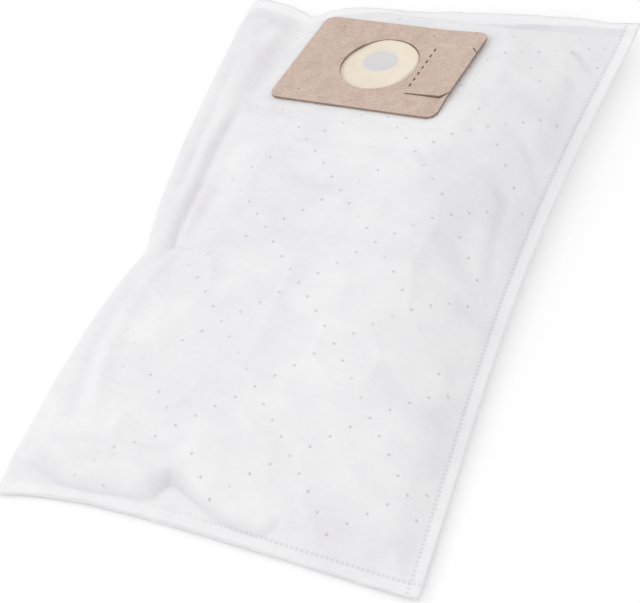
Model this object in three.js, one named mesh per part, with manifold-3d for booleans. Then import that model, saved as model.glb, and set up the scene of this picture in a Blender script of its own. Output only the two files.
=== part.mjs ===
// A vacuum cleaner's dust bag, lying on its back and lightly puffed: a fleece pouch with a board collar.
// Millimetres, X across the bag, Y along it towards the collar, Z up.
import * as THREE from "three";
import { mergeVertices } from "three/addons/utils/BufferGeometryUtils.js";
import Module from "manifold-3d";

// Driving dimensions of the pouch
const bagWidth = 288;             // left fold to the cut edge of the side seam, as the bag lies
const bagLength = 540;            // lower left corner to upper right corner, as the bag lies
const fleeceThickness = 1.4;
const seamAllowance = 10;         // fleece left outside each weld
const seamThickness = 2;          // both layers, pressed together
const foldThickness = 9;          // height of the soft roll along the left fold
const crownHeight = 46;           // how far the puffed layers stand apart at the crown
const ceilingClearance = 0.6;     // least air left between the layers inside the welds

// How the pouch lies
const topSlant = 57;              // the upper left corner is turned under, so the top edge runs back this far
const slantBend = 0.7;            // 0 makes that slant straight, 1 a full S
const cornerTuck = { depth: 7, reach: 0.045 };           // the turned corner's own rounding
const topDip = { across: 0.17, depth: 14, left: 0.062, right: 0.032 };   // the turned corner ends in this V
const dipFade = 3;                // how soon the V fades down the bag
const notchDepth = 18;            // the kink in the left fold
const notchAlong = 0.464;         // its place, as a share of the bag's length
const notchReach = { above: 0.156, below: 0.13 };
const notchRounding = 0.6;        // the kink is sharp at the fold and fades across the bag
const waist = 13;                 // how far the side seam is drawn in between its corners
const waistBias = 1.15;           // over 1 the waist lies above the middle
const cornerReach = 19;           // how far the lower left corner sticks out
const lowerKink = 0.14;           // from that corner to where the bottom edge runs straight
const sideSeamLift = [3, 13];     // height of the side seam's middle layer, at the bottom and the top corner
const endSeamLift = 1.4;          // the same for the bottom seam and the tucked end of the top seam
const liftReach = 45;             // from the cut edge to where the back layer lies flat

// Distances over which the puffed layer climbs from each edge to the crown, and how round the climb is
const climbs = {
  left: { reach: 185, roundness: 1.3 },
  right: { reach: 72, roundness: 2 },
  bottom: { reach: 285, roundness: 1.5 },
  top: { reach: 105, roundness: 1.6 },
};

// Soft folds of the upper layer: place from the left fold and the bottom edge as shares, turn, half sizes, height
const folds = [
  { across: 0.13, along: 0.62, turn: 86, long: 110, wide: 13, rise: -4.5 },
  { across: 0.07, along: 0.47, turn: 70, long: 42, wide: 9, rise: -4 },
  { across: 0.2, along: 0.43, turn: 55, long: 60, wide: 22, rise: 4 },
  { across: 0.15, along: 0.2, turn: 80, long: 90, wide: 26, rise: 4 },
  { across: 0.1, along: 0.89, turn: 20, long: 38, wide: 26, rise: 3 },
  { across: 0.2, along: 0.075, turn: 6, long: 52, wide: 11, rise: 7 },
  { across: 0.44, along: 0.11, turn: 24, long: 46, wide: 14, rise: 7 },
  { across: 0.33, along: 0.09, turn: -40, long: 34, wide: 11, rise: -4 },
  { across: 0.62, along: 0.09, turn: 8, long: 60, wide: 14, rise: 3.5 },
  { across: 0.86, along: 0.2, turn: 60, long: 60, wide: 16, rise: 4.5 },
  { across: 0.9, along: 0.42, turn: 112, long: 50, wide: 11, rise: -4.5 },
  { across: 0.84, along: 0.55, turn: 70, long: 56, wide: 14, rise: -3.5 },
  { across: 0.9, along: 0.72, turn: 100, long: 46, wide: 12, rise: 4 },
  { across: 0.84, along: 0.86, turn: 40, long: 44, wide: 12, rise: -4 },
  { across: 0.6, along: 0.38, turn: 35, long: 80, wide: 34, rise: 3 },
  { across: 0.4, along: 0.52, turn: 20, long: 90, wide: 36, rise: -3 },
];

// Driving dimensions of the collar, with the hose hole's centre as its own zero point
const holeDiameter = 60;
const holeFromSide = 167;         // hole centre to the cut edge of the side seam
const holeFromBottom = 424;       // hole centre to the lower left corner, along the bag
const holeHeight = 29;            // fleece surface below the hole's centre
const boardSize = { width: 136, length: 101, thickness: 2, cornerRadius: 8 };
const boardShift = { x: 0.4, y: -1.7 };   // board centre from the hole's centre
const boardTurn = -6.65;          // degrees in its own plane
const boardSlope = { x: 0.272, y: -0.128 };  // rise of the collar's plane for each unit across and along
const boardSeat = 11;             // fleece that lies flat beyond the board's edge
const seatBlend = 20;             // from there to the free surface
const gap = 0.3;                  // clearance between stacked pieces

// Pull flap in the board
const flapFold = 34.4;            // perforated fold from the hole's centre
const flapWidth = 59;
const flapChamferLength = 5.2;    // the flap's free corners are cut back this far along the board
const flapChamferWidth = 5.4;     // and this far across it
const cutWidth = 0.8;
const slitCount = 7;
const slitLength = 3.2;
const slitPitch = 7.2;
const slitMiddle = 2;             // middle of the row of slits, across the board

// Sealing membrane
const membraneDiameter = 72;
const membraneThickness = 0.5;
const membraneHole = 25;
const membraneHoleShift = { x: -3.2, y: 6.8 };   // the hole's centre from the hose hole's
const fleeceHole = 54;            // hole in the fleece under the collar
const cutterReach = 6;            // how far the hole cutters stand above and below the collar's plane

// Mesh fineness
const cell = 11.5;                // side of a fleece mesh cell
const bendLines = [0, 0.2, 0.6, 1];   // mesh lines round the soft fold, as shares of its radius
const pastBend = 2.2;             // and one more line past it
const weldMargin = 5;             // one more mesh line this far inside each weld
const roundSegments = 40;
const flatTolerance = 0.001;      // merges the cells of the back layer where it lies dead flat
const hollowTolerance = 0.12;     // how far a merged face inside the pouch may stray from the cells

const wasm = await Module();
wasm.setup();

const clamp = THREE.MathUtils.clamp;
const lerp = THREE.MathUtils.lerp;
const smooth = (value) => THREE.MathUtils.smoothstep(value, 0, 1);
const radians = THREE.MathUtils.degToRad;

// From 0 at an edge to 1 past its reach; roundness 1 is a straight ramp
function climb(distance, { reach, roundness }) {
  return 1 - (1 - clamp(distance / reach, 0, 1)) ** roundness;
}

// Quarter of a circle, from 0 upright to 1 level
function quarter(share) {
  return Math.sqrt(1 - (1 - clamp(share, 0, 1)) ** 2);
}

// Outline seen from above, from shares across (0 left) and along (0 bottom)
function plan(across, along) {
  const reach = along > notchAlong ? notchReach.above : notchReach.below;
  const rounding = notchRounding * across;
  const fromNotch = Math.hypot(along - notchAlong, rounding) - rounding;
  const left = notchDepth * Math.exp(-fromNotch / reach);
  const right = waist * Math.sin(Math.PI * along ** waistBias);
  const bottom = cornerReach * (1 - Math.exp(-across / lowerKink));
  const dipReach = across < topDip.across ? topDip.left : topDip.right;
  const dip = topDip.depth * Math.exp(-Math.abs(across - topDip.across) / dipReach);
  const tuck = cornerTuck.depth * (1 - quarter(across / cornerTuck.reach));
  const top = topSlant * (1 - lerp(across, smooth(across), slantBend)) + tuck;
  return {
    x: lerp(left - bagWidth / 2, bagWidth / 2 - right, across),
    y: lerp(bottom - bagLength / 2, bagLength / 2 - top, along) - dip * along ** dipFade,
    width: bagWidth - left - right,
    length: bagLength - bottom - top,
  };
}

const hole = new THREE.Vector3(bagWidth / 2 - holeFromSide, holeFromBottom - bagLength / 2, holeHeight);

// The collar's plane and its own axes
const collarPose = new THREE.Matrix4();
{
  const normal = new THREE.Vector3(-boardSlope.x, -boardSlope.y, 1).normalize();
  const turn = radians(boardTurn);
  const alongBoard = new THREE.Vector3(Math.cos(turn), Math.sin(turn), 0).projectOnPlane(normal).normalize();
  const acrossBoard = new THREE.Vector3().crossVectors(normal, alongBoard);
  collarPose.makeBasis(alongBoard, acrossBoard, normal).setPosition(hole);
}
const intoCollar = collarPose.clone().invert();

// How far a point lies outside the board's rectangle
function pastBoard(x, y, z) {
  const local = new THREE.Vector3(x, y, z).applyMatrix4(intoCollar);
  const dx = Math.abs(local.x - boardShift.x) - boardSize.width / 2;
  const dy = Math.abs(local.y - boardShift.y) - boardSize.length / 2;
  return Math.hypot(Math.max(dx, 0), Math.max(dy, 0));
}

function seatHeight(x, y) {
  return hole.z + boardSlope.x * (x - hole.x) + boardSlope.y * (y - hole.y);
}

// Height of the back layer and of the upper layer at shares across and along
function layers(across, along) {
  const { x, y, width, length } = plan(across, along);
  const edge = {
    left: across * width,
    right: (1 - across) * width,
    bottom: along * length,
    top: (1 - along) * length,
  };
  const inside = {
    right: Math.max(edge.right - seamAllowance, 0),
    bottom: Math.max(edge.bottom - seamAllowance, 0),
    top: Math.max(edge.top - seamAllowance, 0),
  };
  const fall = (distance) => (1 - clamp(distance / liftReach, 0, 1)) ** 2;
  const sideLift = lerp(sideSeamLift[0], sideSeamLift[1], smooth(along)) * fall(edge.right);
  const topLift = lerp(endSeamLift, sideSeamLift[1], smooth(across)) * fall(edge.top);
  const lift = Math.hypot(sideLift, topLift, endSeamLift * fall(edge.bottom));

  const open = smooth(Math.min(inside.right, inside.bottom, inside.top) / (2 * foldThickness));
  const roll = lerp(seamThickness, foldThickness, open);
  const bend = quarter(edge.left / (foldThickness / 2));
  const puff = crownHeight * climb(edge.left, climbs.left) * climb(inside.right, climbs.right)
    * climb(inside.bottom, climbs.bottom) * climb(inside.top, climbs.top);
  let fold = 0;
  for (const { across: a, along: b, turn, long, wide, rise } of folds) {
    const dx = (across - a) * bagWidth;
    const dy = (along - b) * bagLength;
    const angle = radians(turn);
    const down = (dx * Math.cos(angle) + dy * Math.sin(angle)) / long;
    const over = (dy * Math.cos(angle) - dx * Math.sin(angle)) / wide;
    fold += rise * Math.exp(-(down ** 2) - over ** 2);
  }
  const shoulder = open * smooth(edge.left / (2 * foldThickness));
  const back = lift + roll / 2 * (1 - bend);
  let upper = back + roll * bend + puff + fold * shoulder;
  const seat = seatHeight(x, y);
  const seated = 1 - smooth((pastBoard(x, y, seat) - boardSeat) / seatBlend);
  upper = lerp(upper, seat, seated);
  const least = back + Math.min(roll * bend, 2 * fleeceThickness + ceilingClearance);
  return { x, y, back, upper: Math.max(upper, least) };
}

// Shares that put mesh lines at the bend, the weld and the cut edge, and even cells between
function meshLines(size, first, last) {
  const between = size - first[first.length - 1] - last[last.length - 1];
  const count = Math.round(between / cell);
  const start = first[first.length - 1];
  const even = Array.from({ length: count - 1 }, (_, i) => start + between * (i + 1) / count);
  return [...first, ...even, ...last.map((distance) => size - distance).reverse()].map((d) => d / size);
}

const bendRadius = foldThickness / 2;
const weldLines = [0, seamAllowance, seamAllowance + weldMargin];
const foldLines = [...bendLines, pastBend].map((share) => share * bendRadius);
const columns = meshLines(bagWidth, foldLines, weldLines);
const rows = meshLines(bagLength, weldLines, weldLines);

// A closed skin over a block of mesh lines; height gives each vertex of the two layers
function skin(columnRange, rowRange, height) {
  const positions = [];
  const index = [];
  const across = columnRange[1] - columnRange[0] + 1;
  const along = rowRange[1] - rowRange[0] + 1;
  for (const layer of ["back", "upper"]) {
    for (let j = rowRange[0]; j <= rowRange[1]; j++) {
      for (let i = columnRange[0]; i <= columnRange[1]; i++) {
        positions.push(...height(i, j, layer));
      }
    }
  }
  const at = (i, j, layer) => layer * across * along + j * across + i;
  const quad = (a, b, c, d) => index.push(a, b, c, a, c, d);
  for (let j = 0; j < along - 1; j++) {
    for (let i = 0; i < across - 1; i++) {
      quad(at(i, j, 1), at(i + 1, j, 1), at(i + 1, j + 1, 1), at(i, j + 1, 1));
      quad(at(i, j, 0), at(i, j + 1, 0), at(i + 1, j + 1, 0), at(i + 1, j, 0));
    }
  }
  for (let i = 0; i < across - 1; i++) {
    quad(at(i, 0, 0), at(i + 1, 0, 0), at(i + 1, 0, 1), at(i, 0, 1));
    quad(at(i, along - 1, 1), at(i + 1, along - 1, 1), at(i + 1, along - 1, 0), at(i, along - 1, 0));
  }
  for (let j = 0; j < along - 1; j++) {
    quad(at(across - 1, j, 0), at(across - 1, j + 1, 0), at(across - 1, j + 1, 1), at(across - 1, j, 1));
    quad(at(0, j, 1), at(0, j + 1, 1), at(0, j + 1, 0), at(0, j, 0));
  }
  const geometry = new THREE.BufferGeometry();
  geometry.setAttribute("position", new THREE.Float32BufferAttribute(positions, 3));
  geometry.setIndex(index);
  return geometry;
}

// Merges shared vertices, drops collapsed faces and hands the closed mesh to the solid library
function solid(geometry) {
  const bare = geometry.clone();
  bare.deleteAttribute("normal");
  bare.deleteAttribute("uv");
  const merged = mergeVertices(bare, 1e-4);
  const corners = merged.index.array;
  const triangles = [];
  for (let k = 0; k < corners.length; k += 3) {
    const [a, b, c] = corners.slice(k, k + 3);
    if (a !== b && b !== c && c !== a) triangles.push(a, b, c);
  }
  return new wasm.Manifold(new wasm.Mesh({
    numProp: 3,
    vertProperties: new Float32Array(merged.attributes.position.array),
    triVerts: new Uint32Array(triangles),
  }));
}

function toGeometry(manifold) {
  const { vertProperties, triVerts } = manifold.getMesh();
  const geometry = new THREE.BufferGeometry();
  geometry.setAttribute("position", new THREE.BufferAttribute(new Float32Array(vertProperties), 3));
  geometry.setIndex(new THREE.BufferAttribute(new Uint32Array(triVerts), 1));
  geometry.computeVertexNormals();
  return geometry;
}

// A disc along the collar's normal, from one height above its plane to another
function collarDisc(diameter, from, to, shift = { x: 0, y: 0 }) {
  const disc = new THREE.CylinderGeometry(diameter / 2, diameter / 2, to - from, roundSegments);
  disc.rotateX(Math.PI / 2).translate(shift.x, shift.y, (from + to) / 2).applyMatrix4(collarPose);
  return solid(disc);
}

// The pouch: outer skin, less the hollow between the welds, the hose hole and the membrane's pocket
function makePouch() {
  const outer = skin([0, columns.length - 1], [0, rows.length - 1], (i, j, layer) => {
    const point = layers(columns[i], rows[j]);
    return [point.x, point.y, point[layer]];
  });
  const firstColumn = bendLines.length - 1;
  const lastColumn = columns.length - 2;
  const lastRow = rows.length - 2;
  const hollow = skin([firstColumn, lastColumn], [1, lastRow], (i, j, layer) => {
    const point = layers(columns[i], rows[j]);
    const rim = i === firstColumn || i === lastColumn || j === 1 || j === lastRow;
    const middle = (point.back + point.upper) / 2;
    const wall = layer === "back" ? point.back + fleeceThickness : point.upper - fleeceThickness;
    return [point.x, point.y, rim ? middle : wall];
  });
  const hosePath = collarDisc(fleeceHole, -cutterReach, cutterReach);
  const pocketFloor = -membraneThickness - gap;
  const pocket = collarDisc(membraneDiameter + 2 * gap, pocketFloor, cutterReach);
  const pouch = solid(outer).simplify(flatTolerance).subtract(solid(hollow).simplify(hollowTolerance));
  return toGeometry(pouch.subtract(hosePath).subtract(pocket));
}

// The board: rounded rectangle, hose hole and the flap, with its perforated fold, the cut along its lower
// side and the nick at its upper corner
function makeBoard() {
  const { width, length, thickness, cornerRadius } = boardSize;
  const right = boardShift.x + width / 2;
  const left = boardShift.x - width / 2;
  const top = boardShift.y + length / 2;
  const bottom = boardShift.y - length / 2;
  const outline = new THREE.Shape();
  outline.moveTo(left + cornerRadius, bottom);
  outline.absarc(right - cornerRadius, bottom + cornerRadius, cornerRadius, -Math.PI / 2, 0);
  for (const side of [-1, 1]) {
    const straight = flapWidth / 2 * side;
    const edge = straight - flapChamferWidth * side;
    const bend = right - flapChamferLength;
    const half = cutWidth / 2;
    const end = side < 0 ? flapFold : bend - half;
    outline.lineTo(right, edge - half);
    if (side < 0) outline.lineTo(bend - half / 2, straight - half);
    outline.lineTo(end, straight - half);
    outline.lineTo(end, straight + half);
    outline.lineTo(bend + half / 2, straight + half);
    outline.lineTo(right, edge + half);
  }
  outline.absarc(right - cornerRadius, top - cornerRadius, cornerRadius, 0, Math.PI / 2);
  outline.absarc(left + cornerRadius, top - cornerRadius, cornerRadius, Math.PI / 2, Math.PI);
  outline.absarc(left + cornerRadius, bottom + cornerRadius, cornerRadius, Math.PI, 1.5 * Math.PI);
  const round = new THREE.Path();
  round.absarc(0, 0, holeDiameter / 2, 0, 2 * Math.PI, true);
  outline.holes.push(round);
  for (let k = 0; k < slitCount; k++) {
    const y = slitMiddle + (k - (slitCount - 1) / 2) * slitPitch;
    const slit = new THREE.Path();
    slit.moveTo(flapFold - cutWidth / 2, y - slitLength / 2);
    slit.lineTo(flapFold - cutWidth / 2, y + slitLength / 2);
    slit.lineTo(flapFold + cutWidth / 2, y + slitLength / 2);
    slit.lineTo(flapFold + cutWidth / 2, y - slitLength / 2);
    slit.closePath();
    outline.holes.push(slit);
  }
  const board = new THREE.ExtrudeGeometry(outline, { depth: thickness, bevelEnabled: false, curveSegments: 10 });
  return board.translate(0, 0, gap).applyMatrix4(collarPose);
}

// The membrane: a thin rubber disc below the board, with the small hole that seals round the hose end
function makeMembrane() {
  const disc = collarDisc(membraneDiameter, -membraneThickness, 0);
  const through = collarDisc(membraneHole, -cutterReach, cutterReach, membraneHoleShift);
  return toGeometry(disc.subtract(through));
}

function piece(name, geometry, color, roughness) {
  const material = new THREE.MeshStandardMaterial({ color, roughness, metalness: 0 });
  const mesh = new THREE.Mesh(geometry, material);
  mesh.name = name;
  return mesh;
}

const dustBag = new THREE.Group();
dustBag.add(piece("filter_bag", makePouch(), 0xf0eff1, 0.95));
dustBag.add(piece("collar_plate", makeBoard(), 0xc9b8a8, 0.9));
dustBag.add(piece("sealing_membrane", makeMembrane(), 0xefe3cc, 0.6));

// The origin is the middle of the bag's footprint, on the surface it lies on
const box = new THREE.Box3().setFromObject(dustBag, true);
const middle = box.getCenter(new THREE.Vector3());
dustBag.position.set(-middle.x, -middle.y, -box.min.z);

export default dustBag;
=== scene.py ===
import math

import bmesh
import bpy
from mathutils import Matrix, Vector, noise


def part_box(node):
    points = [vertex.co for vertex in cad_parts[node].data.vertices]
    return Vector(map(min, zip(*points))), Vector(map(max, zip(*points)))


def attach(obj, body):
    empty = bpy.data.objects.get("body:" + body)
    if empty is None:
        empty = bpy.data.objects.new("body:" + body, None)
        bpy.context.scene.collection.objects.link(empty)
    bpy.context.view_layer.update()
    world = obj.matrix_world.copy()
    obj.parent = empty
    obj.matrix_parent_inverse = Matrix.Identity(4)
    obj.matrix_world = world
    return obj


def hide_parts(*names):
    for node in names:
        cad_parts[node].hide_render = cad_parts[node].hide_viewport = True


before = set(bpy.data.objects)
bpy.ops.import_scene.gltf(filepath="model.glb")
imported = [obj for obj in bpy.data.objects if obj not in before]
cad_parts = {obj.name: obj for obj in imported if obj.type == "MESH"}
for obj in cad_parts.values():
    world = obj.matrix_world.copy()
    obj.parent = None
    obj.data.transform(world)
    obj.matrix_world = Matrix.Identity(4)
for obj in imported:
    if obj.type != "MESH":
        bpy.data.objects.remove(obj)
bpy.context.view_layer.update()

scene = bpy.context.scene

# Camera: a long lens that looks steeply down on the bag from beyond its lower end,
# a little towards the welded side, so that the collar lies at the top of the picture.
mm = 0.001
camera_azimuth = math.radians(20)
camera_elevation = math.radians(52.55)
camera_distance = 1.712
camera_aim = Vector((2 * mm, -45 * mm, 0))
camera_lens = 138.4                  # on a sensor 36 mm wide
to_camera = Vector((
    math.sin(camera_azimuth) * math.cos(camera_elevation),
    -math.cos(camera_azimuth) * math.cos(camera_elevation),
    math.sin(camera_elevation),
))
camera = bpy.data.objects.new("camera", bpy.data.cameras.new("camera"))
camera.data.sensor_width = 36
camera.data.lens = camera_lens
camera.location = camera_aim + camera_distance * to_camera
camera.rotation_euler = to_camera.to_track_quat("Z", "Y").to_euler()
scene.collection.objects.link(camera)
scene.camera = camera


# Studio: a pale floor that runs out of sight, an even white surround and one broad soft lamp
# beside the bag's folded side. The floor and the surround look white, and the shadow stays.
class Shade:
    """An output of a shader node. Sums with + - * / add Math nodes; node() adds any other node."""

    def __init__(self, tree, output=None):
        self.tree = tree
        self.output = output

    def node(self, kind, settings, inputs, output=0):
        """Adds a node: first its settings, then the values or links of its inputs."""
        added = self.tree.nodes.new("ShaderNode" + kind)
        for name, value in settings.items():
            setattr(added, name, value)
        for name, value in inputs.items():
            if isinstance(value, Shade):
                self.tree.links.new(value.output, added.inputs[name])
            else:
                added.inputs[name].default_value = value
        return Shade(self.tree, added.outputs[output]) if added.outputs else None

    def twin(self, name):
        """Another output of the same node."""
        return Shade(self.tree, self.output.node.outputs[name])

    def math(self, operation, *values):
        return self.node("Math", {"operation": operation}, dict(enumerate(values)))

    def __add__(self, other):
        return self.math("ADD", self, other)

    def __radd__(self, other):
        return self.math("ADD", other, self)

    def __sub__(self, other):
        return self.math("SUBTRACT", self, other)

    def __rsub__(self, other):
        return self.math("SUBTRACT", other, self)

    def __mul__(self, other):
        return self.math("MULTIPLY", self, other)

    def __rmul__(self, other):
        return self.math("MULTIPLY", other, self)

    def __truediv__(self, other):
        return self.math("DIVIDE", self, other)

    def mix(self, factor, one, other):
        """A colour between two, by the factor."""
        return self.node("Mix", {"data_type": "RGBA"}, {0: factor, 6: one, 7: other}, 2)

    def step(self, low, high):
        """0 below low, 1 above high, smooth between; low may be the greater one."""
        ends = {"From Min": low, "From Max": high}
        return self.node("MapRange", {"interpolation_type": "SMOOTHSTEP"}, {"Value": self, **ends})

    def noise_at(self, spot, scale, detail, roughness=0.5):
        """Clouded noise from 0 to 1, most of it near the middle."""
        inputs = {"Vector": spot, "Scale": scale, "Detail": detail, "Roughness": roughness}
        return self.node("TexNoise", {}, inputs)


def start_material(name):
    """A bare material and a Shade to build its nodes with."""
    material = bpy.data.materials.new(name)
    material.use_nodes = True
    material.node_tree.nodes.clear()
    return material, Shade(material.node_tree)


def set_surface(shade, inputs):
    """Ends a material with a principled surface of these inputs."""
    surface = shade.node("BsdfPrincipled", {}, inputs)
    shade.node("OutputMaterial", {}, {"Surface": surface})


def add_object(name, shape):
    """Turns a finished bmesh into an object at the origin."""
    mesh = bpy.data.meshes.new(name)
    shape.to_mesh(mesh)
    shape.free()
    added = bpy.data.objects.new(name, mesh)
    scene.collection.objects.link(added)
    return added


def seen_directly(shade):
    """1 for camera, mirror and glass rays, and 0 for the rays that light the other surfaces."""
    rays = [shade.node("LightPath", {}, {}, name) for name in
            ("Is Camera Ray", "Is Glossy Ray", "Is Transmission Ray")]
    return shade.math("MAXIMUM", rays[0], shade.math("MAXIMUM", rays[1], rays[2]))


surround_level = 0.92
white = (1, 1, 1, 1)
world = bpy.data.worlds.new("surround")
world.use_nodes = True
world.node_tree.nodes.clear()
air = Shade(world.node_tree)
level = (surround_level, surround_level, surround_level, 1)
sky = air.node("Background", {}, {"Color": air.mix(seen_directly(air), level, white)})
air.node("OutputWorld", {}, {"Surface": sky})
scene.world = world

floor_half = 6
floor_drop = 0.2 * mm                # just clear of the bag's back layer
floor_glow = 0.145
floor_shape = bmesh.new()
bmesh.ops.create_grid(floor_shape, x_segments=1, y_segments=1, size=floor_half)
floor = add_object("floor", floor_shape)
floor.location.z = -floor_drop
floor_finish, paint = start_material("floor_white")
glow = seen_directly(paint) * floor_glow
set_surface(paint, {
    "Base Color": (0.9, 0.9, 0.9, 1),
    "Roughness": 1.0,
    "Specular IOR Level": 0.0,
    "Emission Color": paint.node("CombineColor", {}, {0: glow, 1: glow, 2: glow}),
    "Emission Strength": 1.0,
})
floor.data.materials.append(floor_finish)

lamp_data = bpy.data.lights.new("soft_lamp", "AREA")
lamp_data.shape = "DISK"
lamp_data.size = 0.9
lamp_data.energy = 3.2
lamp = bpy.data.objects.new("soft_lamp", lamp_data)
lamp.location = (-1.2, -0.7, 0.85)
lamp.rotation_euler = (lamp.location - camera_aim).to_track_quat("Z", "Y").to_euler()
scene.collection.objects.link(lamp)


# Fleece pouch: one web of white nonwoven, folded over along its left side and welded along
# the other three, so that the layers stand apart inside the welds. The upper left corner is
# turned under, and the collar presses a flat seat into the upper layer.
bag_low, bag_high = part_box("filter_bag")
bag_width = 288 * mm
bag_length = 540 * mm
fleece_thickness = 0.8 * mm
seam_allowance = 10 * mm
seam_thickness = 1.8 * mm
fold_thickness = 9 * mm
crown_height = 46 * mm
layers_apart = 2.4 * fleece_thickness    # the upper layer comes no nearer to the back one

top_slant, slant_bend = 57 * mm, 0.7
corner_tuck, tuck_reach = 7 * mm, 0.045
dip_across, dip_depth, dip_fade = 0.17, 14 * mm, 3
dip_left, dip_right = 0.062, 0.032
notch_depth = 18 * mm
notch_along = 0.464
notch_above, notch_below = 0.156, 0.13
notch_rounding = 0.6                 # the kink is sharp at the fold and fades across the bag
waist, waist_bias = 13 * mm, 1.15
corner_reach = 19 * mm
lower_kink = 0.14
side_lift_bottom, side_lift_top = 3 * mm, 13 * mm
end_lift = 1.4 * mm
lift_reach = 45 * mm

# Reach and roundness of the climb from each edge to the crown
climb_left = (185 * mm, 1.3)
climb_right = (72 * mm, 2.0)
climb_bottom = (285 * mm, 1.5)
climb_top = (105 * mm, 1.6)

hole = Vector((bag_high.x - 167 * mm, bag_low.y + 424 * mm, 29 * mm))
slope_across, slope_along = 0.272, -0.128
board_turn = math.radians(-6.65)
board_width, board_length = 136 * mm, 101 * mm
board_shift = Vector((0.4 * mm, -1.7 * mm))
board_seat, seat_blend = 11 * mm, 20 * mm
fleece_hole = 54 * mm
pocket_depth = 0.9 * mm              # the membrane's thickness and a little room
pocket_radius = 36.5 * mm
pocket_blend = 3 * mm

collar_normal = Vector((-slope_across, -slope_along, 1)).normalized()
turned = Vector((math.cos(board_turn), math.sin(board_turn), 0))
board_along = (turned - turned.dot(collar_normal) * collar_normal).normalized()
board_across = collar_normal.cross(board_along)
collar_pose = Matrix((board_along, board_across, collar_normal)).transposed().to_4x4()
collar_pose.translation = hole
into_collar = collar_pose.inverted()

# Soft folds: place as shares across and along, turn in degrees, half length and half width, rise
folds = [
    (0.13, 0.62, 86, 110 * mm, 13 * mm, -4.5 * mm),
    (0.07, 0.47, 70, 42 * mm, 9 * mm, -4 * mm),
    (0.2, 0.43, 55, 60 * mm, 22 * mm, 4 * mm),
    (0.15, 0.2, 80, 90 * mm, 26 * mm, 4 * mm),
    (0.1, 0.89, 20, 38 * mm, 26 * mm, -1 * mm),
    (0.2, 0.075, 6, 52 * mm, 11 * mm, 7 * mm),
    (0.44, 0.11, 24, 46 * mm, 14 * mm, 7 * mm),
    (0.33, 0.09, -40, 34 * mm, 11 * mm, -4 * mm),
    (0.62, 0.09, 8, 60 * mm, 14 * mm, 3.5 * mm),
    (0.86, 0.2, 60, 60 * mm, 16 * mm, 4.5 * mm),
    (0.9, 0.42, 112, 50 * mm, 11 * mm, -4.5 * mm),
    (0.84, 0.55, 70, 56 * mm, 14 * mm, -3.5 * mm),
    (0.9, 0.72, 100, 46 * mm, 12 * mm, 4 * mm),
    (0.84, 0.86, 40, 44 * mm, 12 * mm, -4 * mm),
    (0.6, 0.38, 35, 80 * mm, 34 * mm, 3 * mm),
    (0.4, 0.52, 20, 90 * mm, 36 * mm, -3 * mm),
]

# Creases: points as shares across and along, half width, rise; they taper towards both ends
crease_taper, crease_end = 5, 0.3
# The creases also get painted shade in the fleece's colour, at its darkest from this depth
dark_crease = 4 * mm                 # as deep as this, a crease is at its darkest
creases = [
    # beside the fold: a valley that runs into the kink, and below it the body's long left ridge
    ([(0.031, 0.86), (0.036, 0.78), (0.036, 0.71), (0.037, 0.64), (0.031, 0.585), (0.015, 0.53)],
     3 * mm, -3.2 * mm),
    ([(0.11, 0.76), (0.095, 0.7), (0.085, 0.647), (0.081, 0.586), (0.069, 0.521), (0.06, 0.486),
      (0.075, 0.44)], 3.8 * mm, -4.2 * mm),
    ([(0.11, 0.586), (0.09, 0.521), (0.078, 0.486), (0.074, 0.417), (0.078, 0.355), (0.085, 0.265),
      (0.108, 0.201), (0.14, 0.121)], 6 * mm, 3.4 * mm),
    ([(0.045, 0.4), (0.045, 0.355), (0.048, 0.265), (0.065, 0.19), (0.095, 0.12)], 6 * mm, -1.6 * mm),
    # beside the side seam
    ([(0.885, 0.87), (0.912, 0.845), (0.928, 0.81), (0.945, 0.74), (0.96, 0.66), (0.965, 0.59)],
     5 * mm, -3.2 * mm),
    ([(0.87, 0.7), (0.917, 0.673), (0.96, 0.646)], 4 * mm, -3 * mm),
    ([(0.84, 0.62), (0.88, 0.6), (0.893, 0.537), (0.905, 0.496), (0.93, 0.464)], 5 * mm, -3.5 * mm),
    ([(0.76, 0.512), (0.84, 0.474), (0.938, 0.435)], 8 * mm, -1.6 * mm),
    ([(0.86, 0.414), (0.95, 0.42)], 9 * mm, -3.5 * mm),
    ([(0.87, 0.92), (0.935, 0.896)], 3.5 * mm, -3 * mm),
    ([(0.86, 0.944), (0.925, 0.918)], 4 * mm, 2.2 * mm),
    ([(0.88, 0.33), (0.94, 0.3), (0.96, 0.24)], 5 * mm, -2 * mm),
    # across the middle and beside the collar
    ([(0.69, 0.63), (0.76, 0.636), (0.83, 0.62)], 8 * mm, -1.8 * mm),
    ([(0.65, 0.45), (0.72, 0.455), (0.78, 0.44)], 8 * mm, -1.6 * mm),
    ([(0.28, 0.6), (0.42, 0.57), (0.55, 0.585)], 9 * mm, -1.2 * mm),
    ([(0.07, 0.954), (0.16, 0.95)], 8 * mm, -2 * mm),
    ([(0.17, 0.064), (0.26, 0.068), (0.33, 0.064)], 2.5 * mm, -1.2 * mm),
]

# Lip: near the lower seam the puffed body rises steeply from the flat welded strip on this line
lip = [
    (0.035, 0.055), (0.082, 0.036), (0.13, 0.022), (0.186, 0.018), (0.226, 0.018), (0.272, 0.022),
    (0.314, 0.025), (0.343, 0.032), (0.354, 0.05), (0.364, 0.061), (0.38, 0.061), (0.411, 0.052),
    (0.458, 0.037), (0.498, 0.026), (0.544, 0.02), (0.594, 0.019), (0.615, 0.023), (0.63, 0.038),
    (0.65, 0.052),
]
lip_reach = (15 * mm, 7 * mm)        # on the left of its point and on the right
lip_point, lip_turn = 0.42, 0.16     # share of the line where the reach changes, and over how much
lip_waver, waver_pace, waver_seed = 0.9, 17, (2.3, 4.1)     # the reach varies along the lip
# The lip's foot gets painted shade: it fades below the line over lip_shadow and across the climb above
# it, and lip_shade sets its strength
lip_shadow = 1.6 * mm
lip_shade = 1.4
lip_fade = 0.12
strip_rise = 2.5 * mm

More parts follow.
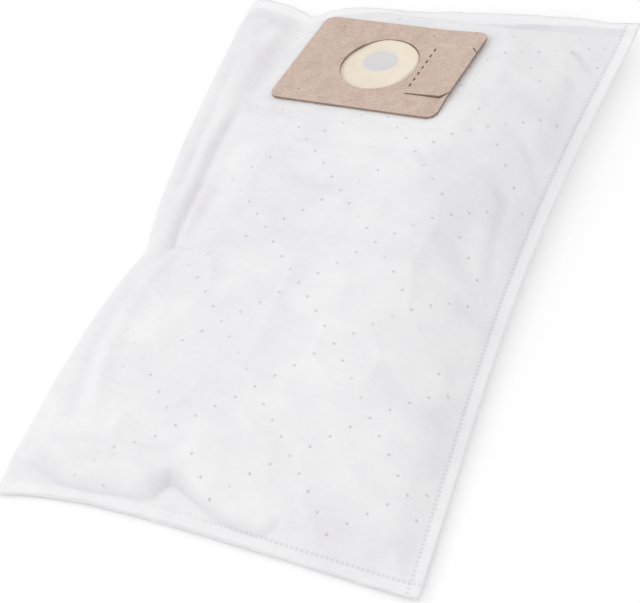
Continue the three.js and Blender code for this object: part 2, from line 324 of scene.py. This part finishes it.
# Crumples: size across and along with a place in the noise, and the rise
wide_crumple, wide_rise = (60 * mm, 70 * mm, 3.1), 2.6 * mm
narrow_crumple, narrow_rise = (26 * mm, 30 * mm, 7.7), 1.1 * mm
sharp_crumple, sharp_rise = (48 * mm, 52 * mm, 1.3), 1.5 * mm
seam_ripple, ripple_rise = (14 * mm, 9 * mm, 5.2), 1.3 * mm
ripple_share, ripple_reach = 0.4, 20 * mm


def clamp(value):
    return min(max(value, 0.0), 1.0)


def blend(one, other, share):
    return one + (other - one) * share


def smooth(value):
    value = clamp(value)
    return value * value * (3 - 2 * value)


def quarter(share):
    """Quarter of a circle, from 0 upright to 1 level."""
    return math.sqrt(1 - (1 - clamp(share)) ** 2)


def climb(distance, reach, roundness):
    """Share of the full height at a distance from an edge."""
    return 1 - (1 - clamp(distance / reach)) ** roundness


def outline(across, along):
    """Place seen from above, and the bag's width and length there, from shares across and along."""
    reach = notch_above if along > notch_along else notch_below
    rounding = notch_rounding * across
    from_notch = math.hypot(along - notch_along, rounding) - rounding
    left = notch_depth * math.exp(-from_notch / reach)
    right = waist * math.sin(math.pi * along ** waist_bias)
    bottom = corner_reach * (1 - math.exp(-across / lower_kink))
    dip_reach = dip_left if across < dip_across else dip_right
    dip = dip_depth * math.exp(-abs(across - dip_across) / dip_reach)
    tuck = corner_tuck * (1 - quarter(across / tuck_reach))
    top = top_slant * (1 - blend(across, smooth(across), slant_bend)) + tuck
    x = blend(bag_high.x - bag_width + left, bag_high.x - right, across)
    y = blend(bag_low.y + bottom, bag_high.y - top, along) - dip * along ** dip_fade
    return x, y, bag_width - left - right, bag_length - bottom - top


def fold_height(across, along):
    """Sum of the soft folds at a place."""
    total = 0.0
    for fold_across, fold_along, turn, long, wide, rise in folds:
        dx = (across - fold_across) * bag_width
        dy = (along - fold_along) * bag_length
        angle = math.radians(turn)
        down = (dx * math.cos(angle) + dy * math.sin(angle)) / long
        over = (dy * math.cos(angle) - dx * math.sin(angle)) / wide
        total += rise * math.exp(-down * down - over * over)
    return total


def from_line(across, along, points):
    """Offset to a place from the nearest point of a line, and that point's share of the line."""
    here = Vector((across * bag_width, along * bag_length))
    nearest, place = Vector((1, 1)), 0.0
    for step, (one, other) in enumerate(zip(points, points[1:])):
        start = Vector((one[0] * bag_width, one[1] * bag_length))
        run = Vector((other[0] * bag_width, other[1] * bag_length)) - start
        share = clamp((here - start).dot(run) / run.length_squared)
        offset = here - start - share * run
        if offset.length < nearest.length:
            nearest, place = offset, (step + share) / (len(points) - 1)
    return nearest, place


def crease_height(across, along):
    """Sum of the creases at a place; each is deepest in its middle."""
    total = 0.0
    for points, half_width, rise in creases:
        offset, place = from_line(across, along, points)
        fade = smooth(crease_taper * place + crease_end)
        fade *= smooth(crease_taper * (1 - place) + crease_end)
        total += rise * fade * math.exp(-((offset.length / half_width) ** 2))
    return total


def lip_climb(across, along):
    """Share of the climb behind the lip, how much painted shade its foot gets, and its strength at a
    place.
    """
    offset, place = from_line(across, along, lip)
    strength = smooth(place / lip_fade) * smooth((1 - place) / lip_fade)
    for one, other in zip(lip, lip[1:]):
        if one[0] <= across <= other[0]:
            line_along = blend(one[1], other[1], (across - one[0]) / (other[0] - one[0]))
            break
    else:
        return 1.0, 0.0, 0.0
    if along <= line_along:
        return 0.0, math.exp(-offset.length / lip_shadow) * strength, strength
    reach = blend(*lip_reach, smooth((place - lip_point) / lip_turn))
    reach *= 1 + lip_waver * noise.noise(Vector((across * waver_pace, *waver_seed)))
    share = clamp(offset.length / reach)
    return math.sin(share * math.pi / 2), (1 - share) * strength, strength


def crumple(x, y, layer):
    """Noise from -1 to 1 of one layer of crumples."""
    wide, long, seed = layer
    return noise.noise(Vector((x / wide, y / long, seed)))


def crumple_height(x, y):
    """Low undulations and shallow ridges of the fleece."""
    low = wide_rise * crumple(x, y, wide_crumple) + narrow_rise * crumple(x, y, narrow_crumple)
    ridge = 1 - abs(crumple(x, y, sharp_crumple)) * 3
    return low + sharp_rise * max(ridge, 0) ** 3


def fleece_point(across, along, upper):
    """A point of the web from its shares across and along, and how much painted shade it gets from crease
    valleys and the lip's foot.
    """
    x, y, width, length = outline(across, along)
    from_left = across * width
    from_right = (1 - across) * width
    from_bottom = along * length
    from_top = (1 - along) * length
    in_right = max(from_right - seam_allowance, 0)
    in_bottom = max(from_bottom - seam_allowance, 0)
    in_top = max(from_top - seam_allowance, 0)

    side_lift = blend(side_lift_bottom, side_lift_top, smooth(along))
    side_lift *= (1 - clamp(from_right / lift_reach)) ** 2
    top_lift = blend(end_lift, side_lift_top, smooth(across))
    top_lift *= (1 - clamp(from_top / lift_reach)) ** 2
    bottom_lift = end_lift * (1 - clamp(from_bottom / lift_reach)) ** 2
    lift = math.hypot(side_lift, top_lift, bottom_lift)
    ripple = crumple(x, y, seam_ripple) + ripple_share
    at_edge = 1 - clamp(min(from_right, from_bottom, from_top) / ripple_reach)
    lift += ripple_rise * max(ripple, 0) * at_edge

    inside = smooth(min(in_right, in_bottom, in_top) / (2 * fold_thickness))
    roll = blend(seam_thickness, fold_thickness, inside)
    bend = quarter(from_left / (fold_thickness / 2))
    back = lift + roll / 2 * (1 - bend)
    if not upper:
        return Vector((x, y, back)), 0.0

    puff = crown_height * climb(from_left, *climb_left) * climb(in_right, *climb_right)
    puff *= climb(in_bottom, *climb_bottom) * climb(in_top, *climb_top)
    shoulder = inside * smooth(from_left / (2 * fold_thickness))
    crease = crease_height(across, along)
    relief = fold_height(across, along) + crease + crumple_height(x, y)
    height = back + roll * bend + puff + relief * shoulder
    climbed, lip_foot_shade, strength = lip_climb(across, along)
    height = blend(height, blend(back + strip_rise, height, climbed), strength)

    seat = hole.z + slope_across * (x - hole.x) + slope_along * (y - hole.y)
    on_collar = into_collar @ Vector((x, y, seat))
    past_x = max(abs(on_collar.x - board_shift.x) - board_width / 2, 0)
    past_y = max(abs(on_collar.y - board_shift.y) - board_length / 2, 0)
    seated = 1 - smooth((math.hypot(past_x, past_y) - board_seat) / seat_blend)
    from_hole = math.hypot(on_collar.x, on_collar.y)
    seat -= pocket_depth * (1 - smooth((from_hole - pocket_radius) / pocket_blend))
    height = blend(height, seat, seated)
    least = back + min(roll * bend, layers_apart)
    # Painted shade: the share by which the creases and the lip's foot are painted greyer in the material
    depth = clamp(-crease / dark_crease) * shoulder * (1 - seated)
    return Vector((x, y, max(height, least))), max(depth, lip_shade * lip_foot_shade)


def mesh_lines(size, first, last, count):
    """Shares of a size: the first distances, even steps, and the last distances from its end."""
    start, end = first[-1], size - last[-1]
    even = [blend(start, end, i / count) for i in range(1, count)]
    return [line / size for line in [*first, *even, *(size - line for line in reversed(last))]]


# The web's mesh lines lie close together at the fold, the welds and the lip
fold_lines = [0, 0.3 * mm, 1.2 * mm, 2.6 * mm, 4.5 * mm]
weld_lines = [line * mm for line in (0, 2.5, 5, 7, 8.5, 9.3, 10, 10.7, 11.5, 13, 15, 17.5)]
lip_spacing, lip_count = 1.5, 32
lip_lines = [weld_lines[-1] + lip_spacing * step * mm for step in range(1, lip_count + 1)]
upper_steps, back_steps, long_steps = 120, 24, 150
upper_lines = mesh_lines(bag_width, fold_lines, weld_lines, upper_steps)
back_lines = mesh_lines(bag_width, fold_lines, weld_lines, back_steps)
web_columns = [(line, False) for line in reversed(back_lines[1:])]
web_columns += [(line, True) for line in upper_lines]
web_rows = mesh_lines(bag_length, weld_lines + lip_lines, weld_lines, long_steps)

web = bmesh.new()
bmesh.ops.create_grid(web, x_segments=len(web_columns) - 1, y_segments=len(web_rows) - 1, size=1)
web_map = web.loops.layers.uv.new("web")
from_side = web.verts.layers.float.new("from_side")
from_ends = web.verts.layers.float.new("from_ends")
painted_shade_amount = web.verts.layers.float.new("painted_shade_amount")
fold_x = bag_high.x - bag_width
web_place = {}
for vertex in web.verts:
    column = round((vertex.co.x + 1) / 2 * (len(web_columns) - 1))
    row = round((vertex.co.y + 1) / 2 * (len(web_rows) - 1))
    across, upper = web_columns[column]
    along = web_rows[row]
    x, y, width, length = outline(across, along)
    vertex.co, vertex[painted_shade_amount] = fleece_point(across, along, upper)
    vertex[from_side] = (1 - across) * width
    vertex[from_ends] = min(along, 1 - along) * length
    web_place[vertex] = (x if upper else 2 * fold_x - x, y)
for face in web.faces:
    face.smooth = True
    for loop in face.loops:
        loop[web_map].uv = web_place[loop.vert]

# The hose hole: the nearest mesh lines are drawn onto its edge, and the faces inside go
rim_reach = 1.4 * mm
rim_play = 0.1 * mm
near_collar = 5 * mm                 # the back layer lies deeper and stays whole
for vertex in web.verts:
    on_collar = into_collar @ vertex.co
    radius = math.hypot(on_collar.x, on_collar.y)
    if abs(on_collar.z) < near_collar and abs(radius - fleece_hole / 2) < rim_reach:
        scale = fleece_hole / 2 / radius
        vertex.co = collar_pose @ Vector((on_collar.x * scale, on_collar.y * scale, on_collar.z))
inside_hole = []
for face in web.faces:
    on_collar = into_collar @ face.calc_center_median()
    radius = math.hypot(on_collar.x, on_collar.y)
    if abs(on_collar.z) < near_collar and radius < fleece_hole / 2 - rim_play:
        inside_hole.append(face)
bmesh.ops.delete(web, geom=inside_hole, context="FACES")

pouch = add_object("fleece_pouch", web)
wall = pouch.modifiers.new("wall", "SOLIDIFY")
wall.thickness = fleece_thickness
wall.offset = -1
wall.use_even_offset = False

fleece_finish, cloth = start_material("white_fleece")
fleece_light = (0.888, 0.886, 0.895, 1)
fleece_dark = (0.814, 0.801, 0.821, 1)
strip_white = (0.94, 0.935, 0.945, 1)
painted_shade_grey = (0.5, 0.48, 0.52, 1)
bond_grey = (0.56, 0.56, 0.585, 1)
web_x = cloth.node("SeparateXYZ", {}, {0: cloth.node("UVMap", {"uv_map": "web"}, {})}, "X")
web_y = web_x.twin("Y")
side = cloth.node("Attribute", {"attribute_name": "from_side"}, {}, "Fac")
ends = cloth.node("Attribute", {"attribute_name": "from_ends"}, {}, "Fac")

# Bond dots lie on two families of slanting lines that cross at every fourth dot. Some are
# stronger than others, they are faint towards the fold, and they stop short of the seams.
diamond_wide, diamond_long = 81 * mm, 84 * mm
crossing = (33 * mm, -19 * mm)
dots_a_side = 4
dot_radius = 1.0 * mm
dimple_radius = 4 * mm
faint_share = 0.15
right = (web_x - crossing[0]) / diamond_wide
up = (web_y - crossing[1]) / diamond_long
one_line = (right + up) * dots_a_side
other_line = (right - up) * dots_a_side
one_dot = cloth.math("ROUND", one_line)
other_dot = cloth.math("ROUND", other_line)
off_one = one_line - one_dot
off_other = other_line - other_dot
off_x = (off_one + off_other) * (diamond_wide / dots_a_side / 2)
off_y = (off_one - off_other) * (diamond_long / dots_a_side / 2)
off_dot = cloth.math("SQRT", off_x * off_x + off_y * off_y)


def on_family(dot):
    """1 where a dot's number lies on a line of the other family, and 0 between."""
    return cloth.math("ABSOLUTE", cloth.math("FRACT", dot / dots_a_side + 0.5) - 0.5).step(0.1, 0.0)


off_seam = cloth.math("MINIMUM", side, ends).step(11 * mm, 15 * mm)
on_line = cloth.math("MAXIMUM", on_family(one_dot), on_family(other_dot)) * off_seam
dot_name = cloth.node("CombineXYZ", {}, {0: one_dot, 1: other_dot})
dot_strength = cloth.node("TexWhiteNoise", {"noise_dimensions": "2D"}, {"Vector": dot_name})
dot_strength = dot_strength.step(-0.3, 0.5)
dot_strength = dot_strength * (web_x.step(-125 * mm, -55 * mm) * (1 - faint_share) + faint_share)
dots = off_dot.step(dot_radius * 1.3, dot_radius * 0.6) * on_line * dot_strength
dimples = off_dot.step(dimple_radius, 0.0) * on_line

# Weld bars: short bars across the seam, in a row beside the cut edges
weld_pitch = 3.48 * mm
bar_reach = 1.2 * mm
side_bar_shift = 1.6 * mm            # the side's row lies nearer to the cut edge at the bottom


def bar_row(distance, run):
    """1 on the bars of a row, from the distance to the cut edge and the run along it."""
    beat = cloth.math("ABSOLUTE", cloth.math("FRACT", run / weld_pitch) - 0.5)
    row = cloth.math("ABSOLUTE", distance - seam_allowance).step(bar_reach * 1.25, bar_reach * 0.7)
    return beat.step(0.32, 0.16) * row


# The top edge is turned under, so its weld is hidden, and a soft band beside it is painted darker, a
# painted shadow of the turned-under hem.
# The bottom weld is faint towards the lower left corner.
hem_shift = 5 * mm
at_top = web_y.step(-20 * mm, 20 * mm)
shown = (1 - at_top) * web_x.step(-70 * mm, 50 * mm)
hem = ends + at_top * web_x.step(20 * mm, 130 * mm) * hem_shift
hem_shade = hem.step(8 * mm, 11 * mm) * hem.step(20 * mm, 13 * mm)
hem_shade = hem_shade * at_top * web_x.step(-90 * mm, -20 * mm)
side_row = side + web_y.step(150 * mm, -250 * mm) * side_bar_shift
bars = cloth.math("MAXIMUM", bar_row(side_row, web_y), bar_row(ends, web_x) * shown)

# The nonwoven's fibres lie in denser and thinner clouds, and its lower left is painted lighter, a painted
# pool of light
solid_place = cloth.node("TexCoord", {}, {}, "Object")
fibres = cloth.noise_at(solid_place, 900, 3, 0.65)
clouds = cloth.noise_at(solid_place, 45, 4, 0.6)
patches = cloth.noise_at(solid_place, 15, 3, 0.5)
dot_share, bar_share, hem_shade_share = 0.7, 0.31, 0.11
strip_least, strip_gain = 0.4, 0.5   # how white the flat strip outside the welds is, from bottom to top
painted_light_corner = web_y.step(20 * mm, -200 * mm) * web_x.step(60 * mm, -100 * mm)
density_and_light = clouds.step(0.32, 0.68) * 0.4 + patches.step(0.38, 0.62) * 0.6 + painted_light_corner * 0.4
clean = cloth.mix(density_and_light, fleece_dark, fleece_light)
# The flat strip outside the welds is painted whiter: partly the two welded layers' own whiteness, partly
# a painted highlight for the light it catches from above and from the white floor
edge_strip = cloth.math("MINIMUM", side_row, hem).step(10 * mm, 8 * mm)
edge_strip = edge_strip * (web_y.step(-200 * mm, 200 * mm) * strip_gain + strip_least)
clean = cloth.mix(edge_strip, clean, strip_white)
clean = cloth.mix(hem_shade * hem_shade_share, clean, painted_shade_grey)
marks = cloth.math("MAXIMUM", dots * dot_share, bars * bar_share)
marked = cloth.mix(marks, clean, bond_grey)

# Painted shade: less light reaches the creases and the lip's foot than so even a surround can show, so
# they are painted a little greyer
crease_shade = 0.2
painted_shade_share = cloth.node("Attribute", {"attribute_name": "painted_shade_amount"}, {}, "Fac")
fleece_color = cloth.mix(painted_shade_share * crease_shade, marked, painted_shade_grey)

# Fine wrinkles run slantwise across the web, under the fibres, the dots and the bars
across_web = cloth.node("Mapping", {}, {
    "Vector": solid_place, "Rotation": (0, 0, 0.35), "Scale": (0.6, 1.5, 1),
})
wrinkles = cloth.math("ABSOLUTE", cloth.noise_at(across_web, 55, 3, 0.45) - 0.5)
relief = fibres * 0.12 - dimples * 0.35 - dots * 0.5 - bars * 0.5 - wrinkles.step(-0.04, 0.2) * 1.3
fleece_bump = cloth.node("Bump", {}, {"Height": relief, "Strength": 0.6, "Distance": 0.6 * mm}, "Normal")
set_surface(cloth, {
    "Base Color": fleece_color,
    "Roughness": 0.95,
    "Specular IOR Level": 0.2,
    "Sheen Weight": 0.1,
    "Normal": fleece_bump,
})
pouch.data.materials.append(fleece_finish)

# The inner side of the fleece, seen through the hose hole. The faint glow stands for the
# daylight that the thin fleece lets into the bag.
lining_finish, lining = start_material("white_fleece_inside")
lining_glow = 0.18
grain = lining.noise_at(lining.node("TexCoord", {}, {}, "Object"), 260, 4, 0.6)
lining_color = lining.mix(grain.step(0.3, 0.7), (0.8, 0.795, 0.8, 1), (0.87, 0.865, 0.87, 1))
set_surface(lining, {
    "Base Color": lining_color,
    "Roughness": 0.95,
    "Specular IOR Level": 0.2,
    "Emission Color": (1.0, 0.98, 1.0, 1),
    "Emission Strength": lining_glow,
})
lining_finish.cycles.emission_sampling = "NONE"
pouch.data.materials.append(lining_finish)
wall.material_offset = 1
wall.material_offset_rim = 0

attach(pouch, "root")
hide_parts("filter_bag")


# Collar board: die-cut from unbleached grey board 2 mm thick and glued on over the membrane.
# It has the round hose hole, and a pull flap that hangs on a perforated fold. The flap's lower
# side is cut free, its upper side is only creased, and both it and the corner above stand proud.
board_gap = 0.3 * mm
board_thickness = 2 * mm
corner_radius = 8 * mm
hose_hole = 60 * mm
flap_fold = 34.4 * mm
flap_half = 29.5 * mm
chamfer_length, chamfer_width = 5.2 * mm, 5.4 * mm
cut_width = 0.7 * mm
slit_count, slit_length, slit_pitch, slit_width = 7, 3.2 * mm, 7.2 * mm, 1.1 * mm
slit_middle = 2 * mm
flap_proud = 2 * mm
edge_round = 0.22 * mm
round_steps = 96
board_left = board_shift.x - board_width / 2
board_right = board_shift.x + board_width / 2
board_bottom = board_shift.y - board_length / 2
board_top = board_shift.y + board_length / 2


def arc(x, y, radius, start, end, steps=8):
    """Points of an arc round a centre, between two angles in degrees."""
    angles = [math.radians(blend(start, end, i / steps)) for i in range(steps + 1)]
    return [(x + radius * math.cos(angle), y + radius * math.sin(angle)) for angle in angles]


def closed_loop(shape, points):
    """Adds the points and a ring of edges through them, level at zero."""
    corners = [shape.verts.new((x, y, 0)) for x, y in points]
    for one, other in zip(corners, corners[1:] + corners[:1]):
        shape.edges.new((one, other))


half_cut = cut_width / 2
bend_x = board_right - chamfer_length
lower_cut = [
    (board_right, chamfer_width - flap_half - half_cut),
    (bend_x + half_cut, -flap_half - half_cut),
    (flap_fold, -flap_half - half_cut),
    (flap_fold, -flap_half + half_cut),
    (bend_x - half_cut, -flap_half + half_cut),
    (board_right, chamfer_width - flap_half + half_cut),
]
upper_cut = [
    (board_right, flap_half - chamfer_width - half_cut),
    (bend_x - half_cut, flap_half - half_cut),
    (bend_x + half_cut, flap_half + half_cut),
    (board_right, flap_half - chamfer_width + half_cut),
]
inset_left, inset_right = board_left + corner_radius, board_right - corner_radius
inset_bottom, inset_top = board_bottom + corner_radius, board_top - corner_radius
card_shape = bmesh.new()
closed_loop(card_shape, [
    *arc(inset_left, inset_bottom, corner_radius, 180, 270),
    *arc(inset_right, inset_bottom, corner_radius, 270, 360),
    *lower_cut,
    *upper_cut,
    *arc(inset_right, inset_top, corner_radius, 0, 90),
    *arc(inset_left, inset_top, corner_radius, 90, 180),
])
bmesh.ops.create_circle(card_shape, cap_ends=False, segments=round_steps, radius=hose_hole / 2)
for slit in range(slit_count):
    slit_y = slit_middle + (slit - (slit_count - 1) / 2) * slit_pitch
    closed_loop(card_shape, [
        (flap_fold - slit_width / 2, slit_y - slit_length / 2),
        (flap_fold + slit_width / 2, slit_y - slit_length / 2),
        (flap_fold + slit_width / 2, slit_y + slit_length / 2),
        (flap_fold - slit_width / 2, slit_y + slit_length / 2),
    ])
bmesh.ops.triangle_fill(card_shape, use_beauty=True, edges=card_shape.edges[:], normal=(0, 0, 1))
for cut_x in (flap_fold, bend_x):
    bmesh.ops.bisect_plane(
        card_shape, geom=[*card_shape.verts, *card_shape.edges, *card_shape.faces],
        plane_co=(cut_x, 0, 0), plane_no=(1, 0, 0),
    )
bmesh.ops.recalc_face_normals(card_shape, faces=card_shape.faces[:])
if sum(face.normal.z for face in card_shape.faces) < 0:
    bmesh.ops.reverse_faces(card_shape, faces=card_shape.faces[:])
for vertex in card_shape.verts:
    out = (vertex.co.x - flap_fold) / (board_right - flap_fold)
    if out > 0 and vertex.co.y > -flap_half:
        vertex.co.z += flap_proud * out
bmesh.ops.solidify(card_shape, geom=card_shape.faces[:], thickness=-board_thickness)
level_face, upright_face = 0.9, 0.3  # how level a face lies, from 0 upright to 1 flat
rims = []
for edge in card_shape.edges:
    lean = [abs(face.normal.z) for face in edge.link_faces]
    if len(lean) == 2 and max(lean) > level_face and min(lean) < upright_face:
        rims.append(edge)
for face in card_shape.faces:
    face.material_index = 0 if abs(face.normal.z) > level_face else 1
bmesh.ops.bevel(
    card_shape, geom=rims, offset=edge_round, offset_type="OFFSET", affect="EDGES",
    segments=2, profile=0.5, material=-1, clamp_overlap=False,
)
bmesh.ops.recalc_face_normals(card_shape, faces=card_shape.faces[:])
lowest_face = min(vertex.co.z for vertex in card_shape.verts)
bmesh.ops.translate(card_shape, verts=card_shape.verts[:], vec=(0, 0, board_gap - lowest_face))
card_shape.transform(collar_pose)
board = add_object("collar_board", card_shape)


def collar_place(shade):
    """Object coordinates laid flat on the collar, with the hose hole as their zero."""
    spot = shade.node("TexCoord", {}, {}, "Object")
    return shade.node("Mapping", {"vector_type": "POINT"}, {
        "Vector": spot,
        "Location": into_collar.translation,
        "Rotation": into_collar.to_euler(),
    })


pressed_tan = (0.84, 0.7, 0.6, 1)
fleck_brown = (0.13, 0.1, 0.08, 1)


def fibre_board(name, light, dark, fleck_share):
    """Grey board of one shade, with clouded pulp, short darker fibres and a few dark flecks."""
    finish, card = start_material(name)
    spot = collar_place(card)
    pulp = card.noise_at(spot, 90, 6, 0.7)
    grain = card.noise_at(spot, 620, 3, 0.7)
    long_way = card.node("Mapping", {}, {"Vector": spot, "Scale": (0.35, 1.6, 1.0)})
    strands = card.noise_at(long_way, 1100, 2)
    flecks = card.node("TexVoronoi", {"feature": "F1"}, {"Vector": spot, "Scale": 190, "Randomness": 1.0})
    chosen = card.node("SeparateXYZ", {}, {0: flecks.twin("Color")})
    chosen = chosen.step(1 - fleck_share, 1 - fleck_share + 0.02)
    small = flecks.step(0.17, 0.07) * chosen
    # The flap's upper side is only a pressed line
    across = card.node("SeparateXYZ", {}, {0: spot}, "X")
    along = across.twin("Y")
    line = card.math("ABSOLUTE", along - flap_half).step(0.8 * mm, 0.2 * mm)
    line = line * across.step(flap_fold - mm, flap_fold) * across.step(bend_x + mm, bend_x)
    shade = pulp.step(0.35, 0.7) * 0.35 + grain.step(0.35, 0.7) * 0.4 + strands.step(0.4, 0.75) * 0.35
    pressed = card.mix(line * 0.45, card.mix(shade, light, dark), pressed_tan)
    color = card.mix(small * 0.85, pressed, fleck_brown)
    rough = grain * 0.6 + strands * 0.4 - small * 0.3 - line * 0.6
    bump = card.node("Bump", {}, {"Height": rough, "Strength": 0.35, "Distance": 0.25 * mm})
    set_surface(card, {
        "Base Color": color,
        "Roughness": 0.9,
        "Specular IOR Level": 0.25,
        "Normal": bump,
    })
    return finish


board_face = fibre_board("grey_board", (0.71, 0.56, 0.475, 1), (0.47, 0.365, 0.305, 1), 0.16)
# The cut faces are painted darker: partly the cut board's own colour, partly painted shade along the
# board's edges
board_cut = fibre_board("grey_board_cut", (0.36, 0.27, 0.22, 1), (0.22, 0.16, 0.13, 1), 0.02)
board.data.materials.append(board_face)
board.data.materials.append(board_cut)
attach(board, "root")
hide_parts("collar_plate")


# Sealing membrane: a disc of thin cream rubber between the board and the fleece. Its round hole
# grips the hose end, and the sheet hangs in a little towards it.
membrane_radius = 36 * mm
membrane_hole = 12.5 * mm
membrane_shift = Vector((-3.2 * mm, 6.8 * mm, 0))
membrane_pull = Vector((1.06, 0.88, 1))      # the sheet sags more along the bag than across it
membrane_thickness = 0.5 * mm
lip_round = 0.25 * mm
membrane_sag = 1.2 * mm
sag_reach = 17 * mm
membrane_rise = 1.9 * mm                     # on its upper right it bulges into the board's hole
rise_margin, rise_blend = 0.4 * mm, 1.2 * mm
rise_least = 0.2                             # share of the bulge that is left at the small hole
rise_start, rise_turn = 0.35, 0.9            # how far round from its upper right it bulges
diagonal = 1.41                              # two equal runs of 1 make about this much on the slant
section_rings = 24
section = [(membrane_radius, -membrane_thickness), (membrane_radius, 0)]
inner_radius = membrane_hole + lip_round
rings = [blend(membrane_radius, inner_radius, i / section_rings) for i in range(1, section_rings)]
section += [(radius, 0) for radius in rings]
section += [(inner_radius + x, y - lip_round) for x, y in arc(0, 0, lip_round, 90, 270)]
section += [(radius, -membrane_thickness) for radius in reversed(rings)]
disc = bmesh.new()
ring = [disc.verts.new((radius, 0, height)) for radius, height in section]
for one, other in zip(ring, ring[1:] + ring[:1]):
    disc.edges.new((one, other))
bmesh.ops.spin(
    disc, geom=[*disc.verts, *disc.edges], cent=(0, 0, 0), axis=(0, 0, 1),
    angle=2 * math.pi, steps=round_steps, use_merge=True,
)
bmesh.ops.recalc_face_normals(disc, faces=disc.faces[:])
for vertex in disc.verts:
    radius = math.hypot(vertex.co.x, vertex.co.y)
    inner = clamp((membrane_radius - radius) / (membrane_radius - membrane_hole))
    vertex.co = blend(vertex.co, vertex.co * membrane_pull, inner) + membrane_shift * inner
    inward = 1 - clamp((radius - membrane_hole) / sag_reach)
    vertex.co.z -= membrane_sag * inward * inward
    free = smooth((hose_hole / 2 - rise_margin - radius) / rise_blend)
    free *= smooth((radius - membrane_hole) / sag_reach + rise_least)
    upper_right = (vertex.co.x + vertex.co.y) / (diagonal * radius)
    upper_right = smooth((upper_right + rise_start) / rise_turn)
    vertex.co.z += membrane_rise * free * upper_right
for face in disc.faces:
    face.smooth = True
disc.transform(collar_pose)
membrane = add_object("rubber_membrane", disc)

rubber_finish, rubber = start_material("cream_rubber")
rubber_place = collar_place(rubber)
bloom = rubber.noise_at(rubber_place, 70, 4, 0.55)
dust = rubber.noise_at(rubber_place, 800, 2)
rubber_color = rubber.mix(bloom.step(0.3, 0.7), (0.85, 0.75, 0.6, 1), (0.89, 0.8, 0.67, 1))
# The rubber thins out at the hole, and it is painted grey there, painted see-through light for the pale
# inside of the bag showing through it
off_hole = rubber.node("VectorMath", {"operation": "SUBTRACT"}, {0: rubber_place, 1: membrane_shift})
off_hole = rubber.node("VectorMath", {"operation": "LENGTH"}, {0: off_hole}, "Value")
rubber_color = rubber.mix(off_hole.step(16 * mm, 12 * mm) * 0.6, rubber_color, (0.74, 0.73, 0.74, 1))
ripple = rubber.node("TexWave", {"wave_type": "RINGS", "rings_direction": "Z"}, {
    "Vector": rubber_place, "Scale": 120, "Distortion": 2.0, "Detail": 1.0,
})
rubber_bump = rubber.node("Bump", {}, {
    "Height": ripple * 0.8 + dust * 0.3, "Strength": 0.4, "Distance": 0.25 * mm,
})
set_surface(rubber, {
    "Base Color": rubber_color,
    "Roughness": 0.55,
    "Specular IOR Level": 0.3,
    "Normal": rubber_bump,
})
membrane.data.materials.append(rubber_finish)
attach(membrane, "root")
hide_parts("sealing_membrane")


scene.view_settings.view_transform = "Standard"
